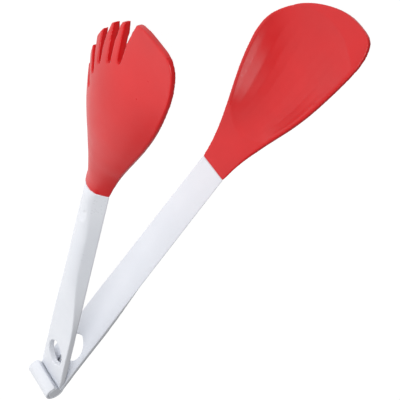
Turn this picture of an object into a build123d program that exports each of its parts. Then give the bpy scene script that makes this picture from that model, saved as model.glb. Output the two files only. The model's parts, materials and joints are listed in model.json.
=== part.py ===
from build123d import *
import math
import os

os.makedirs("parts", exist_ok=True)

# Spring loaded kitchen tongs. They lie on their side: the hinge axis is Z, the arms open in XY,
# the heads point along +X. Each arm is drawn straight along X from the line where the two
# inner faces cross, with its inner face on Y = 0 and its outer side on +Y.

# Whole tool
rest_angle = 26.4          # between the two inner faces, arms sprung open
closed_gap = 0.3           # between the inner faces, arms pressed together
arm_clearance = 0.3        # between parts of the two arms

# Handles
junction_x = 173.0         # where the handle stops and the head's neck starts
neck_width = 21.0
neck_depth = 7.4
base_width = 23.5
base_depth = 3.8
bevel_run = 4.7            # how far the outer face is narrower than the inner one, each side
taper_start_x = 44.0       # flat bar up to here
taper_end_x = 112.0        # full depth from here
wall = 1.7
cover_depth = 1.6
cover_start_x = 58.0
cover_fit = 0.05
cover_post_places = (82.0, 114.0)
pip_depth = 0.8            # stepped ends of the posts, in the cover's sockets
pip_step = 0.6
base_crown = 0.35          # how far the outer face is crowned, on the bar and on the grip
grip_crown = 1.7
base_bevel = 0.4
dimple_x = 153.5           # shallow oval thumb mark on the outer face
dimple_length = 13.0
dimple_width = 8.0
dimple_depth = 0.45

# Heads
tang_length = 34.0
tang_width = 9.6
tang_depth = 2.2
tang_fit = 0.1
post_radius = 1.9
post_spacing = 16.0
post_margin = 8.0          # from the tang's end to its first post
head_wall = 2.4
rim_width = 2.2
lip_run = 28.0             # from the junction to where the rim has its full wall
bowl_start_x = 11.0
bowl_fade = 3.0            # least fall of the bowl's surface, where it runs out at its two ends
dish_end_x = 122.0         # the dished surfaces run on to here, past the tips
dish_reach = 1.6           # and out to this much of the half width
dish_rows = 24
dish_columns = 10
# the fork's slots from root to mouth: from the junction, from the middle, half the slot's width
slot_lines = [[(90.5, 1.1, 1.5), (100.0, -1.2, 2.3), (108.2, -1.6, 3.5), (122.0, -1.5, 6.6)],
              [(85.2, -5.9, 1.5), (95.0, -9.3, 2.0), (103.0, -10.6, 2.6), (118.0, -11.4, 5.8)],
              [(78.6, -13.0, 1.4), (86.0, -16.3, 1.9), (93.0, -18.0, 2.5), (110.0, -19.5, 5.6)],
              [(69.8, -15.8, 1.4), (74.8, -21.0, 2.3), (80.5, -26.0, 3.6), (88.0, -33.0, 5.6)],
              [(60.6, -15.7, 1.3), (63.6, -21.0, 1.7), (66.0, -27.0, 2.4), (69.0, -35.0, 3.6)]]

# Hinge
pin_radius = 1.25
pin_fit = 0.06
knuckle_length = 2.4
lug_length = 2.4
side_gap = 0.2
tail_radius = 6.0
hook_x = -8.6              # centre of the hook's round
hook_radius = 6.2
hook_wall = 1.8
lip_angle = 32.0           # where the hook's lip ends, up from the +X direction
block_fit = 0.05
stop_gap = 0.3

# Spring
wire_radius = 0.5
coil_clearance = 0.15      # between the pin and the coil
coil_length = 7.6
coil_turns = 5.0
spring_leg = 8.0
leg_groove_fit = 0.15

# Screws of the hinge block
screw_radius = 1.1
screw_head_radius = 2.0
screw_head_depth = 0.9
screw_length = 6.0
screw_spread = 16.4
screw_sink = 0.3           # how far the heads lie below the outer face
screw_fit = 0.1

# Hanging slots
hang_start_x = 9.8
hang_end_x = 31.0
hang_width = 14.6

half_angle = rest_angle / 2
coil_radius = pin_radius + coil_clearance + wire_radius  # to the middle of the wire
knuckle_radius = coil_radius + wire_radius + 0.1
half_neck = neck_width / 2
hinge_x = closed_gap / 2 / math.sin(math.radians(half_angle))
pin_x = hinge_x * math.cos(math.radians(half_angle))     # the axis in an arm's own frame
pin_y = -closed_gap / 2
hook_y = base_depth - hook_radius
hook_inner = hook_radius - hook_wall
half_base = base_width / 2
lug_z = coil_length / 2 + side_gap                       # inner face of each lug
knuckle_z = lug_z + lug_length + side_gap                # inner face of each knuckle
pin_half = knuckle_z + knuckle_length - side_gap
strip_z = knuckle_z + knuckle_length + side_gap
leg_z = coil_length / 2 - wire_radius
leg_y = pin_y + coil_radius
screw_places = (-screw_spread / 2, screw_spread / 2)


def curve_value(x, stations):
    """Smooth value at x through a few (x, value) stations."""
    if x <= stations[0][0]:
        return stations[0][1]
    if x >= stations[-1][0]:
        return stations[-1][1]
    i = max(k for k in range(len(stations) - 1) if stations[k][0] <= x)
    x1, y1 = stations[i]
    x2, y2 = stations[i + 1]
    x0, y0 = stations[i - 1] if i > 0 else (2 * x1 - x2, 2 * y1 - y2)
    x3, y3 = stations[i + 2] if i + 2 < len(stations) else (2 * x2 - x1, 2 * y2 - y1)
    t = (x - x1) / (x2 - x1)
    m1 = (y2 - y0) / (x2 - x0) * (x2 - x1)
    m2 = (y3 - y1) / (x3 - x1) * (x2 - x1)
    return ((2 * t**3 - 3 * t**2 + 1) * y1 + (t**3 - 2 * t**2 + t) * m1
            + (3 * t**2 - 2 * t**3) * y2 + (t**3 - t**2) * m2)


def ramp(x):
    """0 on the flat bar, 1 on the full-depth handle."""
    t = min(1.0, max(0.0, (x - taper_start_x) / (taper_end_x - taper_start_x)))
    return t * t * (3 - 2 * t)


def half_width(x):
    t = min(1.0, max(0.0, x / junction_x))
    return (base_width + (neck_width - base_width) * t) / 2


def section(x, inset=0.0, floor=0.0):
    """The handle's cross-section at x: flat inside, bevelled sides, crowned outer face."""
    w = half_width(x) - inset
    depth = base_depth + (neck_depth - base_depth) * ramp(x) - inset
    crown = base_crown + (grip_crown - base_crown) * ramp(x)
    bevel = base_bevel + (bevel_run - base_bevel) * ramp(x)
    crease_y = depth - crown
    full = crease_y + inset
    floor_w = w - bevel * max(0.0, floor) / full
    crease_w = w - bevel * crease_y / full
    points = [(floor_w, floor), (crease_w, crease_y), (0, depth), (-crease_w, crease_y), (-floor_w, floor)]
    p = [Vector(x, y, z) for z, y in points]
    outline = Wire([Edge.make_line(p[4], p[0]), Edge.make_line(p[0], p[1]),
                    Edge.make_three_point_arc(p[1], p[2], p[3]), Edge.make_line(p[3], p[4])])
    return Face(outline)


def handle_body(x_from, x_to, inset=0.0, floor=0.0):
    """Lofted length of handle between two stations."""
    inner = [x for x in (taper_start_x, 60, 78, 96, taper_end_x, 142) if x_from + 4 < x < x_to - 4]
    return Solid(loft([section(x, inset, floor) for x in [x_from] + inner + [x_to]]).wrapped)


def block(x0, x1, y0, y1, z0, z1):
    return Pos((x0 + x1) / 2, (y0 + y1) / 2, (z0 + z1) / 2) * Box(x1 - x0, y1 - y0, z1 - z0)


def barrel(x, y, radius, z0, z1):
    """Cylinder along the hinge direction."""
    return Pos(x, y, (z0 + z1) / 2) * Cylinder(radius, z1 - z0)


def head_side():
    """Everything on the head's side of the joint between handle and head."""
    return block(junction_x, junction_x + 200, -50, 60, -80, 80)


def hanging_slot():
    """Pointed oval through the bar, with its two points rounded."""
    mid = (hang_start_x + hang_end_x) / 2
    half = hang_width / 2
    tips = [(hang_start_x, 0), (hang_end_x, 0)]
    outline = Wire([Edge.make_three_point_arc(Vector(*tips[0], 0), Vector(mid, half, 0), Vector(*tips[1], 0)),
                    Edge.make_three_point_arc(Vector(*tips[1], 0), Vector(mid, -half, 0), Vector(*tips[0], 0))])
    face = Face(outline)
    face = fillet(face.vertices(), radius=1.8)
    solid = extrude(face, amount=30, dir=(0, 0, 1))
    return Pos(0, 15, 0) * Rot(90, 0, 0) * solid


def posts(x_list, y0, y1, radius):
    """Round posts across the handle's hollow, or the holes that they go in."""
    return [Pos(x, (y0 + y1) / 2, 0) * Rot(90, 0, 0) * Cylinder(radius, y1 - y0) for x in x_list]


tang_end_x = junction_x - tang_length
tang_posts = [tang_end_x + post_margin + k * post_spacing for k in range(2)]
cover_posts = tang_posts + list(cover_post_places)
tang_y0 = cover_depth + tang_fit


def cover_slab():
    return block(cover_start_x, junction_x + 10, -5, cover_depth, -40, 40)


def handle_solid(x_from):
    """Outside of a handle, from its base to the joint with the head, with the hanging slot."""
    body = handle_body(x_from, junction_x + 1)
    dimple = scale(Sphere(1), (dimple_length / 2, dimple_depth, dimple_width / 2))
    return body - head_side() - hanging_slot() - Pos(dimple_x, neck_depth, 0) * dimple


def handle_hollow():
    """Hollow under the cover, and the mouth that the head's tang goes in through."""
    hollow = handle_body(cover_start_x + 8, junction_x - 6, inset=wall, floor=0.4)
    mouth = block(tang_end_x - 1, junction_x + 10, tang_y0 - tang_fit,
                  tang_y0 + tang_depth + tang_fit, -tang_width / 2 - tang_fit, tang_width / 2 + tang_fit)
    return hollow, mouth


def make_handle(body):
    """Main moulding of a handle: the cover's seat, the hollow and its posts."""
    hollow, mouth = handle_hollow()
    shell = body - cover_slab() - hollow - mouth
    roof = neck_depth - 0.6
    for post in posts(cover_posts, cover_depth, roof, post_radius):
        shell += post & body
    for pip in posts(cover_posts, cover_depth - pip_depth, cover_depth, post_radius - pip_step):
        shell += pip
    return shell


def make_cover(body):
    """Flat inner plate that closes a handle, with sockets for the post ends."""
    seat = block(cover_start_x + cover_fit, junction_x + 10, -5, cover_depth - cover_fit / 2, -40, 40)
    cover = body & seat
    for socket in posts(cover_posts, cover_depth - pip_depth - cover_fit, cover_depth + 1,
                        post_radius - pip_step + cover_fit):
        cover -= socket
    return cover


# Head shape, X from the junction: outer depth of the head, inner depth of its bowl, and the
# low and high sides of the dish. Past the tip they run on, so that the dish fades out there.
back_depth = [(-4, neck_depth), (4, neck_depth), (17, 8.6), (32, 10.4), (47, 12.0), (62, 12.0),
              (75, 10.4), (89, 7.6), (103, 4.9), (118, 2.9)]
spoon_bowl_depth = [(15, -2.5), (26, 0.0), (37, 4.4), (49, 8.0), (62, 9.2), (75, 8.0), (89, 5.2),
                    (102, 2.2), (114, -1.6)]
fork_bowl_depth = [(15, -2.5), (26, 0.0), (37, 4.0), (49, 7.2), (62, 7.8), (75, 5.8), (89, 3.2),
                   (102, 0.6), (114, -1.6)]
spoon_low = [(0, -10.4), (15, -13.0), (28, -17.6), (41, -23.1), (54, -28.4), (66, -31.9), (76, -33.6),
             (90, -33.0), (104, -27.0), (120, -14.0)]
spoon_high = [(0, 10.4), (15, 12.2), (30, 16.3), (41, 20.1), (51, 23.8), (62, 26.6), (81, 30.1),
              (97, 32.0), (110, 32.0), (120, 31.0)]
spoon_outline = [(0, -half_neck + 0.1), (15, -13.1), (28, -17.6), (41, -23.1), (53.5, -28.2), (66, -31.9),
                 (76.5, -33.6), (85, -32.4), (93, -28.6), (107, -15.7), (114, -4.0), (118, 8.0), (118.4, 20.0),
                 (116.2, 27.6), (110, 31.2), (96.5, 32.0), (81, 30.1), (62, 26.6), (41, 20.1), (21.5, 13.9),
                 (6, 11.0), (0, half_neck - 0.1)]
fork_low = [(0, -10.4), (10, -10.9), (21, -13.6), (31, -17.0), (42, -21.6), (53, -25.4), (65, -27.4),
            (77, -27.6), (90, -25.5), (104, -19.0), (120, -8.0)]
fork_high = [(0, 10.4), (9, 12.4), (19, 15.2), (32, 20.0), (45, 25.2), (58, 29.9), (73, 34.0), (85, 35.9),
             (97, 36.7), (110, 36.0), (120, 34.0)]
fork_outline = [(0, -half_neck + 0.1), (10, -11.0), (21, -13.6), (31, -17.0), (42, -21.6), (53, -25.4),
                (65, -27.3), (74, -26.9), (82, -24.8), (90, -21.4), (98.5, -16.2), (106.5, -7.6),
                (112.0, 0.0), (115.0, 8.0), (115.7, 21.0), (114.6, 29.0), (110.6, 33.6), (104, 35.9), (96, 36.7),
                (85, 35.9), (73, 34.0), (58, 29.9), (45, 25.2), (32, 20.0), (19, 15.2), (9, 12.3),
                (0, half_neck - 0.1)]


def fall(v):
    """How far a dished section has fallen, 0 on the middle line and 1 at the outline."""
    return v ** 2.1 if v <= 1 else 1 + 2.1 * (v - 1) / (1 + 1.5 * (v - 1))


def back_y(x, v, half):
    """Back surface of a head, outwards from the rim's plane."""
    lip = head_wall * min(1.0, max(0.0, x / lip_run))
    deep = curve_value(x, back_depth)
    return deep - (deep - lip) * fall(v)


def under_surface(height, low, high, x_from):
    """Solid on the inner side of a dished surface. v runs across the dish, 1 at its sides."""
    rows = []
    for k in range(dish_rows + 1):
        x = x_from + k * (dish_end_x - x_from) / dish_rows
        middle = (curve_value(x, high) + curve_value(x, low)) / 2
        half = (curve_value(x, high) - curve_value(x, low)) / 2
        vs = [dish_reach * (i / dish_columns - 1) for i in range(2 * dish_columns + 1)]
        rows.append([Vector(x, height(x, abs(v), half), middle + v * half) for v in vs])
    return extrude(Face.make_surface_from_array_of_points(rows), amount=40, dir=(0, -1, 0))


def outline_prism(points):
    """Prism over a head's outline."""
    lines = [Vector(x, 0, z) for x, z in points]
    face = Face(Wire([Edge.make_spline(lines), Edge.make_line(lines[-1], lines[0])]))
    return extrude(face, amount=40, dir=(0, 1, 0))


def make_head(outline, low, high, bowl_depth):
    """Dished nylon head with its flat neck, drawn from the junction."""
    def bowl_y(x, v, half):
        deep = curve_value(x, bowl_depth)
        return deep - max(deep, bowl_fade) * fall(v * half / (half - rim_width))

    head = outline_prism(outline) & under_surface(back_y, low, high, back_depth[0][0])
    return head - under_surface(bowl_y, low, high, bowl_start_x)


def with_tang(head):
    """The head in its place on the arm, with the tang that goes into the handle."""
    tang = block(tang_end_x, junction_x + 4, tang_y0, tang_y0 + tang_depth, -tang_width / 2, tang_width / 2)
    for hole in posts(tang_posts, -1, 20, post_radius + tang_fit):
        tang -= hole
    neck = handle_body(junction_x - 12, junction_x + 6) & head_side()
    return Pos(junction_x, 0, 0) * head + neck + tang


def cut_slots(head):
    """Open-ended slots with round roots that leave the fork's tines."""
    for line in slot_lines:
        sides = [[], []]
        for k, (x, z, half) in enumerate(line):
            before, after = line[max(k - 1, 0)], line[min(k + 1, len(line) - 1)]
            along = Vector(after[0] - before[0], 0, after[1] - before[1]).normalized()
            across = Vector(-along.Z, 0, along.X) * half
            sides[0].append(Vector(x, -1, z) + across)
            sides[1].append(Vector(x, -1, z) - across)
        face = Face(Wire.make_polygon(sides[0] + sides[1][::-1], close=True))
        x, z, half = line[0]
        head -= extrude(face, amount=40, dir=(0, 1, 0)) + Pos(x, 0, z) * Rot(90, 0, 0) * Cylinder(half, 60)
    return head


def both_zones(inner, outer, make):
    """The same shape at +Z and at -Z: make(z0, z1) for each."""
    return make(inner, outer) + make(-outer, -inner)


def flat_prism(points):
    """Prism across the whole width over an outline in XY."""
    return Pos(0, 0, -20) * extrude(make_face(Polyline(*points, close=True)), amount=40)


def hook_mouth():
    """Open side of the hook, from the lip's end round to the slanting seat of the block."""
    lip = math.radians(lip_angle)
    far = (hook_x + 30 * math.cos(lip), hook_y - 30 * math.sin(lip))
    return flat_prism([(hook_x, hook_y), far, (30, -20), (30, 0), (0, 0), (hook_x, hook_y + hook_inner)])


def leg_groove(z, depth):
    """Groove in an arm's inner face for one leg of the spring."""
    half = wire_radius + leg_groove_fit
    return block(pin_x, pin_x + spring_leg + half, -1, depth + half, z - half, z + half)


def make_spoon_handle():
    """Spoon arm's handle: its bar runs on round the base as a hook."""
    body = handle_solid(hook_x) + barrel(hook_x, hook_y, hook_radius, -half_base, half_base)
    body = body - barrel(hook_x, hook_y, hook_inner, -20, 20) - hook_mouth()
    body -= barrel(pin_x, pin_y, knuckle_radius + arm_clearance, -strip_z, strip_z)
    body -= both_zones(lug_z - side_gap / 2, lug_z + lug_length + side_gap / 2,
                       lambda a, b: block(hook_x - 1, pin_x, -1, pin_y + knuckle_radius + block_fit, a, b))
    body -= leg_groove(-leg_z, leg_y)
    for z in screw_places:
        body -= Pos(hook_x, base_depth, z) * Rot(90, 0, 0) * Cylinder(screw_radius + screw_fit, 8)
        body -= Pos(hook_x, base_depth, z) * Rot(90, 0, 0) * Cylinder(
            screw_head_radius + screw_fit, 2 * (screw_sink + screw_head_depth))
    return body


def make_hinge_block():
    """Block inside the hook: cradle for the fork arm's tail, and the two lugs for the pin."""
    seat = hook_inner - block_fit
    body = barrel(hook_x, hook_y, seat, -half_base, half_base)
    body += flat_prism([(hook_x, hook_y), (hook_x, hook_y + seat), (-1, 0.15), (-1, 0), (-5, hook_y)]) & block(
        hook_x, 0, -10, 10, -half_base, half_base)
    cradle = barrel(pin_x, pin_y, tail_radius + arm_clearance, -20, 20) & block(-20, 20, -20, 0, -20, 20)
    body = body - cradle - barrel(pin_x, pin_y, knuckle_radius + arm_clearance, -strip_z, strip_z)
    body += both_zones(lug_z, lug_z + lug_length, lambda a, b: block(
        hook_x + 0.6, pin_x, 0, pin_y + knuckle_radius, a, b) + barrel(pin_x, pin_y, knuckle_radius, a, b))
    body -= barrel(pin_x, pin_y, pin_radius + pin_fit, -strip_z, strip_z)
    for z in screw_places:
        body -= Pos(hook_x, base_depth, z) * Rot(90, 0, 0) * Cylinder(screw_radius, 2 * (screw_length + 1))
    return body


def make_fork_handle():
    """Fork arm's handle: its bar ends in a round tail with two knuckles for the pin."""
    body = handle_solid(pin_x - tail_radius - 1)
    keep = barrel(pin_x, pin_y, tail_radius, -20, 20) + block(pin_x, 300, -5, 40, -40, 40)
    other_arm = Rot(0, 0, -rest_angle) * block(-40, pin_x, -40, stop_gap, -40, 40)
    body = (body & keep) - other_arm
    body -= barrel(pin_x, pin_y, knuckle_radius + arm_clearance, -knuckle_z, knuckle_z)
    body += both_zones(knuckle_z, knuckle_z + knuckle_length,
                       lambda a, b: barrel(pin_x, pin_y, knuckle_radius, a, b))
    body -= barrel(pin_x, pin_y, pin_radius, -pin_half, pin_half)
    body -= barrel(pin_x, pin_y, pin_radius + pin_fit, -half_base - 1, -pin_half)
    body -= leg_groove(leg_z, leg_y)
    return body


def make_screw(z):
    head = Pos(hook_x, base_depth - screw_sink - screw_head_depth / 2, z) * Rot(90, 0, 0) * Cylinder(
        screw_head_radius, screw_head_depth)
    shank = Pos(hook_x, base_depth - screw_sink - screw_length / 2, z) * Rot(90, 0, 0) * Cylinder(
        screw_radius, screw_length)
    drive = Pos(hook_x, base_depth - screw_sink, z) * Rot(90, 0, 0)
    cross = drive * Box(2.4, 0.5, 1.0) + drive * Box(0.5, 2.4, 1.0)
    return head + shank - cross


def make_spring():
    """Torsion spring about the pin, its two legs lying in the arms' grooves."""
    start = -90 - half_angle
    turns = coil_turns + (360 - 2 * (90 + half_angle)) / 360
    path = Helix(pitch=2 * leg_z / turns, height=2 * leg_z, radius=coil_radius, lefthand=True)
    path = Pos(hinge_x, 0, -leg_z) * Rot(0, 0, start) * path
    wire = sweep(Plane(origin=path @ 0, z_dir=path % 0) * Circle(wire_radius), path=path, is_frenet=True)
    for end, angle, z in ((path @ 0, -half_angle, -leg_z), (path @ 1, half_angle, leg_z)):
        leg = Rot(0, 90, 0) * Pos(0, 0, spring_leg / 2) * Cylinder(wire_radius, spring_leg)
        wire += Pos(*end) * Rot(0, 0, angle) * leg
        wire += Pos(*end) * Sphere(wire_radius)
    return wire


def on_spoon_arm(shape):
    return Rot(0, 0, -half_angle) * mirror(shape, about=Plane.XZ)


def on_fork_arm(shape):
    return Rot(0, 0, half_angle) * shape


spoon_body = make_spoon_handle()
fork_body = make_fork_handle()
pieces = {
    "spoon_head": on_spoon_arm(with_tang(make_head(spoon_outline, spoon_low, spoon_high, spoon_bowl_depth))),
    "spoon_handle": on_spoon_arm(make_handle(spoon_body)),
    "spoon_handle_cover": on_spoon_arm(make_cover(spoon_body)),
    "hinge_block": on_spoon_arm(make_hinge_block()),
    "block_screw_lower": on_spoon_arm(make_screw(screw_places[0])),
    "block_screw_upper": on_spoon_arm(make_screw(screw_places[1])),
    "torsion_spring": make_spring(),
    "fork_head": on_fork_arm(with_tang(cut_slots(make_head(fork_outline, fork_low, fork_high, fork_bowl_depth)))),
    "fork_handle": on_fork_arm(make_handle(fork_body)),
    "fork_handle_cover": on_fork_arm(make_cover(fork_body)),
    "hinge_pin": barrel(hinge_x, 0, pin_radius, -pin_half, pin_half),
}

# Origin: under the middle of the whole tool, at its lowest point
boxes = [piece.bounding_box() for piece in pieces.values()]
low = [min(getattr(box.min, axis) for box in boxes) for axis in "XYZ"]
high = [max(getattr(box.max, axis) for box in boxes) for axis in "XYZ"]
shift = (-(low[0] + high[0]) / 2, -(low[1] + high[1]) / 2, -low[2])
hinge_place = (hinge_x + shift[0], shift[1], shift[2])
print("hinge axis, mm:", hinge_place)

for name, piece in pieces.items():
    export_step(Pos(*shift) * piece, "parts/" + name + ".step")
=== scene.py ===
import json
import math

import bmesh
import bpy
from mathutils import Matrix, Vector


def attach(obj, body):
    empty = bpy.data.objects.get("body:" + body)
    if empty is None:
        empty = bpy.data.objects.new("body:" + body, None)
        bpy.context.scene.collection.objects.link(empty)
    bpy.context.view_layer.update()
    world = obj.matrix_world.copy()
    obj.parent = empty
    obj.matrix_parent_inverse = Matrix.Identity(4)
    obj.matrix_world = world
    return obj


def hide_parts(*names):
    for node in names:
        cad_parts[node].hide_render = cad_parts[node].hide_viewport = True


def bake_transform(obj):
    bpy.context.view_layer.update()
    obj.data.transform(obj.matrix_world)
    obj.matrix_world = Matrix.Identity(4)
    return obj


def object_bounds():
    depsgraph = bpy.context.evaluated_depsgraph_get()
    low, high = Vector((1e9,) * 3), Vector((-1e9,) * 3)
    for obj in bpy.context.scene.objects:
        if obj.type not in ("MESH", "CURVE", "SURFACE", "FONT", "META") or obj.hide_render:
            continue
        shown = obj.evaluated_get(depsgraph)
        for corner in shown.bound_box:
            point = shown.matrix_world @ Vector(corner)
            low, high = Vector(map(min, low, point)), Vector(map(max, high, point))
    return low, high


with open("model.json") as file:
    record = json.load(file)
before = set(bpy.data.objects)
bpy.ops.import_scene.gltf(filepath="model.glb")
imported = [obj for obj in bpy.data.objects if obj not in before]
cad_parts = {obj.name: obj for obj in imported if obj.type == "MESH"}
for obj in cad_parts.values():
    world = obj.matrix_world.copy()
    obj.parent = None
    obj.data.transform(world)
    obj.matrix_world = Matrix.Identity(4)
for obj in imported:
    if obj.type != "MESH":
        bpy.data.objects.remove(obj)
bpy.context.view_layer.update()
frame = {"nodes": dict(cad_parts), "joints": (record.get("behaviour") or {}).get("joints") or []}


# ---------------------------------------------------------------- the two heads
# Spoon and slotted fork, each one moulding of red nylon with its neck and the tang that is
# locked inside the handle. The mould leaves soft edges, a satin skin and a fine even grain.

mm = 0.001
nylon_light = (0.66, 0.008, 0.010, 1)
nylon_deep = (0.60, 0.006, 0.008, 1)
nylon_roughness = 0.38
nylon_grain = 1.0
nylon_relief = 0.05 * mm
nylon_voxel = 0.47 * mm         # how finely the moulded surface is meshed
nylon_passes = 8                # rounds of smoothing, which set how soft an edge is

drift_scale = 28                # noise scales, in waves per metre
patch_scale = 160
grain_scale = 2600
patch_strength = 0.12           # how far the roughness wanders from place to place
edge_from = 0.51                # pointiness at which an edge begins
edge_full = 0.58
edge_polish = 0.10
moulded_ior = 1.5
bump_strength = 0.5
weld_distance = 0.001 * mm


def new_socket(group, name, kind, output=False):
    return group.interface.new_socket(name, in_out="OUTPUT" if output else "INPUT", socket_type=kind)


def moulded_skin_group():
    """Colour, roughness and height of a satin moulded plastic."""
    group = bpy.data.node_groups.new("moulded_skin", "ShaderNodeTree")
    for name, kind in (("Light", "NodeSocketColor"), ("Deep", "NodeSocketColor"),
                       ("Roughness", "NodeSocketFloat"), ("Grain", "NodeSocketFloat"),
                       ("Edge Polish", "NodeSocketFloat")):
        new_socket(group, name, kind)
    for name, kind in (("Colour", "NodeSocketColor"), ("Roughness", "NodeSocketFloat"),
                       ("Height", "NodeSocketFloat")):
        new_socket(group, name, kind, output=True)
    nodes, links = group.nodes, group.links
    given = nodes.new("NodeGroupInput")
    made = nodes.new("NodeGroupOutput")
    place = nodes.new("ShaderNodeTexCoord")

    def noise(scale, detail):
        node = nodes.new("ShaderNodeTexNoise")
        node.inputs["Scale"].default_value = scale
        node.inputs["Detail"].default_value = detail
        links.new(place.outputs["Object"], node.inputs["Vector"])
        return node.outputs["Fac"]

    def maths(kind, a, b):
        node = nodes.new("ShaderNodeMath")
        node.operation = kind
        for socket, value in zip(node.inputs, (a, b)):
            if isinstance(value, (int, float)):
                socket.default_value = value
            else:
                links.new(value, socket)
        return node.outputs[0]

    # slow drift of the colour, as the melt cooled
    drift = nodes.new("ShaderNodeMapRange")
    drift.inputs["From Min"].default_value = 0.35
    drift.inputs["From Max"].default_value = 0.65
    links.new(noise(drift_scale, 3), drift.inputs["Value"])
    tint = nodes.new("ShaderNodeMix")
    tint.data_type = "RGBA"
    links.new(drift.outputs["Result"], tint.inputs["Factor"])
    links.new(given.outputs["Deep"], tint.inputs["A"])
    links.new(given.outputs["Light"], tint.inputs["B"])
    links.new(tint.outputs["Result"], made.inputs["Colour"])

    # the mould's fine grain, rubbed smoother along the edges
    grain = noise(grain_scale, 2)
    shape = nodes.new("ShaderNodeNewGeometry")
    edge = nodes.new("ShaderNodeMapRange")
    edge.inputs["From Min"].default_value = edge_from
    edge.inputs["From Max"].default_value = edge_full
    links.new(shape.outputs["Pointiness"], edge.inputs["Value"])
    polish = maths("MULTIPLY", edge.outputs["Result"], given.outputs["Edge Polish"])
    patches = maths("MULTIPLY", maths("SUBTRACT", noise(patch_scale, 4), 0.5), patch_strength)
    matt = maths("ADD", given.outputs["Roughness"], patches)
    links.new(maths("SUBTRACT", matt, polish), made.inputs["Roughness"])
    unrubbed = maths("SUBTRACT", 1.0, edge.outputs["Result"])
    relief = maths("MULTIPLY", maths("MULTIPLY", grain, given.outputs["Grain"]), unrubbed)
    links.new(relief, made.inputs["Height"])
    return group


moulded_skin = moulded_skin_group()


def moulded_plastic(name, light, deep, roughness, grain, relief):
    """Satin plastic, its relief in metres."""
    material = bpy.data.materials.new(name)
    material.use_nodes = True
    nodes, links = material.node_tree.nodes, material.node_tree.links
    shader = nodes["Principled BSDF"]
    skin = nodes.new("ShaderNodeGroup")
    skin.node_tree = moulded_skin
    skin.inputs["Light"].default_value = light
    skin.inputs["Deep"].default_value = deep
    skin.inputs["Roughness"].default_value = roughness
    skin.inputs["Grain"].default_value = grain
    skin.inputs["Edge Polish"].default_value = edge_polish
    bump = nodes.new("ShaderNodeBump")
    bump.inputs["Distance"].default_value = relief
    bump.inputs["Strength"].default_value = bump_strength
    links.new(skin.outputs["Colour"], shader.inputs["Base Color"])
    links.new(skin.outputs["Roughness"], shader.inputs["Roughness"])
    links.new(skin.outputs["Height"], bump.inputs["Height"])
    links.new(bump.outputs["Normal"], shader.inputs["Normal"])
    shader.inputs["IOR"].default_value = moulded_ior
    return material


red_nylon = moulded_plastic("red_nylon", nylon_light, nylon_deep, nylon_roughness, nylon_grain, nylon_relief)


def plain_mesh(obj, name):
    """The evaluated object as a plain mesh object, with nothing left on it."""
    graph = bpy.context.evaluated_depsgraph_get()
    mesh = bpy.data.meshes.new_from_object(obj.evaluated_get(graph))
    made = bpy.data.objects.new(name, mesh)
    bpy.context.scene.collection.objects.link(made)
    return made


def soft_edged(nodes, name, material, voxel, passes):
    """The frame's shape of one or more nodes, as one even mesh with its edges rounded off."""
    shape = bmesh.new()
    for node in nodes:
        shape.from_mesh(frame["nodes"][node].data)
    mesh = bpy.data.meshes.new("work")
    shape.to_mesh(mesh)
    shape.free()
    work = bpy.data.objects.new("work", mesh)
    bpy.context.scene.collection.objects.link(work)
    weld = work.modifiers.new("weld", "WELD")
    weld.merge_threshold = weld_distance
    even = work.modifiers.new("even", "REMESH")
    even.mode = "VOXEL"
    even.voxel_size = voxel
    soft = work.modifiers.new("soft", "SMOOTH")
    soft.factor = 0.5
    soft.iterations = passes
    made = plain_mesh(work, name)
    bpy.data.objects.remove(work)
    made.data.materials.clear()
    made.data.materials.append(material)
    made.data.polygons.foreach_set("use_smooth", [True] * len(made.data.polygons))
    return made


for node, body in (("spoon_head", "spoon_arm"), ("fork_head", "fork_arm")):
    head = soft_edged([node], node + "_moulding", red_nylon, nylon_voxel, nylon_passes)
    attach(head, body)
    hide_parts(node)


# ---------------------------------------------------------------- the two handles
# Each handle is a hollow white moulding with its flat cover welded on, shown as one piece.
# The spoon arm's bar runs on round the base as a hook, the fork arm's ends in a round tail.

plastic_light = (0.80, 0.82, 0.87, 1)
plastic_deep = (0.76, 0.785, 0.84, 1)
plastic_roughness = 0.36
plastic_grain = 0.7
plastic_relief = 0.03 * mm
handle_voxel = 0.45 * mm
handle_passes = 4

white_plastic = moulded_plastic("white_plastic", plastic_light, plastic_deep, plastic_roughness,
                                plastic_grain, plastic_relief)

for node, body in (("spoon_handle", "spoon_arm"), ("fork_handle", "fork_arm")):
    parts = [node, node + "_cover"]
    handle = soft_edged(parts, node + "_moulding", white_plastic, handle_voxel, handle_passes)
    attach(handle, body)
    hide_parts(*parts)


# ---------------------------------------------------------------- the hinge block
# White moulding that fills the hook. It holds the cradle for the fork arm's tail and the
# two lugs of the hinge pin, and two screws hold it from the outer side.

block_voxel = 0.25 * mm
block_passes = 8

hinge_block = soft_edged(["hinge_block"], "hinge_block_moulding", white_plastic, block_voxel, block_passes)
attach(hinge_block, "spoon_arm")
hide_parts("hinge_block")


# ---------------------------------------------------------------- pin and screws
# Drawn steel pin, pressed into the fork arm's knuckles, and two plated cross-head screws.
# They keep the frame's shape. The pin's steel has fine lines along it, the screws' an even grain.

steel_light = (0.62, 0.62, 0.63, 1)
steel_deep = (0.40, 0.40, 0.42, 1)
steel_smoothest = 0.22
steel_roughest = 0.42
steel_relief = 0.01 * mm
pin_lines_across = 6000         # the pattern's waves per metre
pin_lines_along = 300
screw_grain = 2500
spring_grain = 1500


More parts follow.
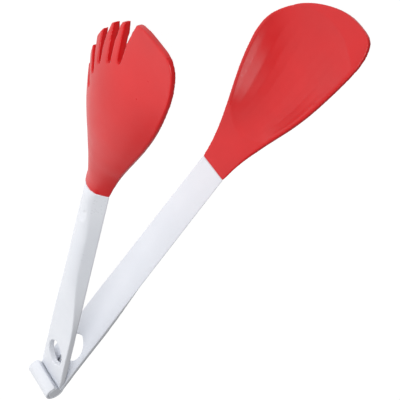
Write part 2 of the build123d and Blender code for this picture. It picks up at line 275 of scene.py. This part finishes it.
def drawn_steel(name, across, along):
    """Steel with fine lines: across and along set the pattern's scale on X, Y and on Z."""
    material = bpy.data.materials.new(name)
    material.use_nodes = True
    nodes, links = material.node_tree.nodes, material.node_tree.links
    shader = nodes["Principled BSDF"]
    shader.inputs["Metallic"].default_value = 1
    place = nodes.new("ShaderNodeTexCoord")
    turn = nodes.new("ShaderNodeMapping")
    turn.inputs["Scale"].default_value = (across, across, along)
    lines = nodes.new("ShaderNodeTexNoise")
    lines.inputs["Scale"].default_value = 1
    lines.inputs["Detail"].default_value = 4
    colour = nodes.new("ShaderNodeValToRGB")
    colour.color_ramp.elements[0].position = 0.3
    colour.color_ramp.elements[0].color = steel_deep
    colour.color_ramp.elements[1].position = 0.7
    colour.color_ramp.elements[1].color = steel_light
    matt = nodes.new("ShaderNodeMapRange")
    matt.inputs["To Min"].default_value = steel_smoothest
    matt.inputs["To Max"].default_value = steel_roughest
    bump = nodes.new("ShaderNodeBump")
    bump.inputs["Distance"].default_value = steel_relief
    links.new(place.outputs["Object"], turn.inputs["Vector"])
    links.new(turn.outputs["Vector"], lines.inputs["Vector"])
    links.new(lines.outputs["Fac"], colour.inputs["Fac"])
    links.new(lines.outputs["Fac"], matt.inputs["Value"])
    links.new(lines.outputs["Fac"], bump.inputs["Height"])
    links.new(colour.outputs["Color"], shader.inputs["Base Color"])
    links.new(matt.outputs["Result"], shader.inputs["Roughness"])
    links.new(bump.outputs["Normal"], shader.inputs["Normal"])
    return material


pin_steel = drawn_steel("pin_steel", pin_lines_across, pin_lines_along)
screw_steel = drawn_steel("screw_steel", screw_grain, screw_grain)
for node, material in (("hinge_pin", pin_steel), ("block_screw_lower", screw_steel),
                       ("block_screw_upper", screw_steel)):
    part = frame["nodes"][node]
    part.data.materials.clear()
    part.data.materials.append(material)


# ---------------------------------------------------------------- the spring
# Torsion spring of hard drawn wire, wound round the pin. Its lower leg lies in the spoon
# arm's groove and its upper leg in the fork arm's, so the coil winds up as the arms close.

wire_radius = 0.5 * mm
coil_radius = 1.9 * mm
coil_length = 7.6 * mm
whole_turns = 5
leg_length = 8.0 * mm
wire_sides = 14
steps_per_turn = 40

hinge = Vector(frame["joints"][0]["pos_m"])
half_angle = math.radians(abs(frame["joints"][0]["range_deg"][0])) / 2


def spring_line():
    """Middle line of the wire: one leg, the coil and the other leg."""
    low, high = -coil_length / 2 + wire_radius, coil_length / 2 - wire_radius
    start = -math.pi / 2 - half_angle
    sweep = 2 * math.pi * (whole_turns + 1) - 2 * (math.pi / 2 + half_angle)
    steps = int(steps_per_turn * sweep / (2 * math.pi))
    coil = []
    for k in range(steps + 1):
        angle = start - sweep * k / steps
        coil.append(Vector((coil_radius * math.cos(angle), coil_radius * math.sin(angle),
                            low + (high - low) * k / steps)))
    first = coil[0] + leg_length * Vector((math.cos(half_angle), -math.sin(half_angle), 0))
    last = coil[-1] + leg_length * Vector((math.cos(half_angle), math.sin(half_angle), 0))
    return [hinge + point for point in [first] + coil + [last]]


def wire_tree(material):
    """Geometry nodes that give a line its round wire."""
    tree = bpy.data.node_groups.new("drawn_wire", "GeometryNodeTree")
    new_socket(tree, "Geometry", "NodeSocketGeometry")
    new_socket(tree, "Wire Radius", "NodeSocketFloat")
    new_socket(tree, "Wire Sides", "NodeSocketInt")
    new_socket(tree, "Geometry", "NodeSocketGeometry", output=True)
    nodes, links = tree.nodes, tree.links
    given = nodes.new("NodeGroupInput")
    made = nodes.new("NodeGroupOutput")
    ring = nodes.new("GeometryNodeCurvePrimitiveCircle")
    tube = nodes.new("GeometryNodeCurveToMesh")
    tube.inputs["Fill Caps"].default_value = True
    smooth = nodes.new("GeometryNodeSetShadeSmooth")
    real = nodes.new("GeometryNodeRealizeInstances")
    skin = nodes.new("GeometryNodeSetMaterial")
    skin.inputs["Material"].default_value = material
    links.new(given.outputs["Wire Radius"], ring.inputs["Radius"])
    links.new(given.outputs["Wire Sides"], ring.inputs["Resolution"])
    links.new(given.outputs["Geometry"], tube.inputs["Curve"])
    links.new(ring.outputs["Curve"], tube.inputs["Profile Curve"])
    links.new(tube.outputs["Mesh"], smooth.inputs["Geometry"])
    links.new(smooth.outputs["Geometry"], real.inputs["Geometry"])
    links.new(real.outputs["Geometry"], skin.inputs["Geometry"])
    links.new(skin.outputs["Geometry"], made.inputs["Geometry"])
    return tree


def tree_inputs(modifier, values):
    """Sets a modifier's inputs by their names."""
    for item in modifier.node_group.interface.items_tree:
        if item.item_type == "SOCKET" and item.in_out == "INPUT" and item.name in values:
            modifier[item.identifier] = values[item.name]


spring_steel = drawn_steel("spring_steel", spring_grain, spring_grain)
line = bpy.data.curves.new("spring_line", "CURVE")
line.dimensions = "3D"
points = spring_line()
wire = line.splines.new("POLY")
wire.points.add(len(points) - 1)
for knot, point in zip(wire.points, points):
    knot.co = (*point, 1)
line_object = bpy.data.objects.new("spring_line", line)
bpy.context.scene.collection.objects.link(line_object)
winding = line_object.modifiers.new("wire", "NODES")
winding.node_group = wire_tree(spring_steel)
tree_inputs(winding, {"Wire Radius": wire_radius, "Wire Sides": wire_sides})
spring = plain_mesh(line_object, "torsion_spring_wire")
bpy.data.objects.remove(line_object)
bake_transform(spring)
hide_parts("torsion_spring")


# ---------------------------------------------------------------- floor, light and camera
# A white floor that glows and so lights the tongs from below, one soft light from above on
# the fork arm's side, and a dim white room.

floor_reach = 8.0
floor_gap = 0.5 * mm            # between the floor and the tongs
floor_grey = 0.2
floor_roughness = 0.9
floor_glow = 0.95
side_light_place = (0.35, 0.86, 0.58)
side_light_size = 0.6
side_light_power = 6.6
room_glow = 0.24
camera_lens = 114.65
sensor_width = 36
half_closed_gap = 0.15 * mm     # half of what is left between the closed arms
camera_offset = Vector((577.05, 433.22, 351.93)) * mm

low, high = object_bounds()
middle = (low + high) / 2

floor_mesh = bpy.data.meshes.new("floor")
corners = [(x * floor_reach, y * floor_reach, low.z - floor_gap) for x, y in
           ((-1, -1), (1, -1), (1, 1), (-1, 1))]
floor_mesh.from_pydata(corners, [], [(0, 1, 2, 3)])
floor = bpy.data.objects.new("floor", floor_mesh)
bpy.context.scene.collection.objects.link(floor)
floor_paint = bpy.data.materials.new("floor_paint")
floor_paint.use_nodes = True
paint = floor_paint.node_tree.nodes["Principled BSDF"]
paint.inputs["Base Color"].default_value = (floor_grey, floor_grey, floor_grey, 1)
paint.inputs["Roughness"].default_value = floor_roughness
paint.inputs["Emission Color"].default_value = (1, 1, 1, 1)
paint.inputs["Emission Strength"].default_value = floor_glow
floor_mesh.materials.append(floor_paint)


def soft_light(name, place, size, power):
    """Square light that faces the middle of the tongs."""
    lamp = bpy.data.lights.new(name, "AREA")
    lamp.size = size
    lamp.energy = power
    made = bpy.data.objects.new(name, lamp)
    made.location = place
    made.rotation_mode = "QUATERNION"
    made.rotation_quaternion = (middle - Vector(place)).to_track_quat("-Z", "Y")
    bpy.context.scene.collection.objects.link(made)


soft_light("side_light", side_light_place, side_light_size, side_light_power)

room = bpy.data.worlds.new("room")
room.use_nodes = True
room.node_tree.nodes["Background"].inputs["Color"].default_value = (1, 1, 1, 1)
room.node_tree.nodes["Background"].inputs["Strength"].default_value = room_glow
bpy.context.scene.world = room
bpy.context.scene.view_settings.view_transform = "Standard"

# The camera stands past the heads, above them and on the fork arm's side, and is turned so
# that the base comes lowest in its view.
view_right = Vector((0.39662569, -0.75091310, 0.52803179))
view_up = Vector((0.70192732, -0.12261429, -0.70161511))
view_back = view_right.cross(view_up)
crossing = hinge - Vector((half_closed_gap / math.sin(half_angle), 0, 0))
camera_data = bpy.data.cameras.new("camera")
camera_data.lens = camera_lens
camera_data.sensor_width = sensor_width
camera = bpy.data.objects.new("camera", camera_data)
camera.rotation_mode = "QUATERNION"
camera.rotation_quaternion = Matrix((view_right, view_up, view_back)).transposed().to_quaternion()
camera.location = crossing + camera_offset
bpy.context.scene.collection.objects.link(camera)
bpy.context.scene.camera = camera
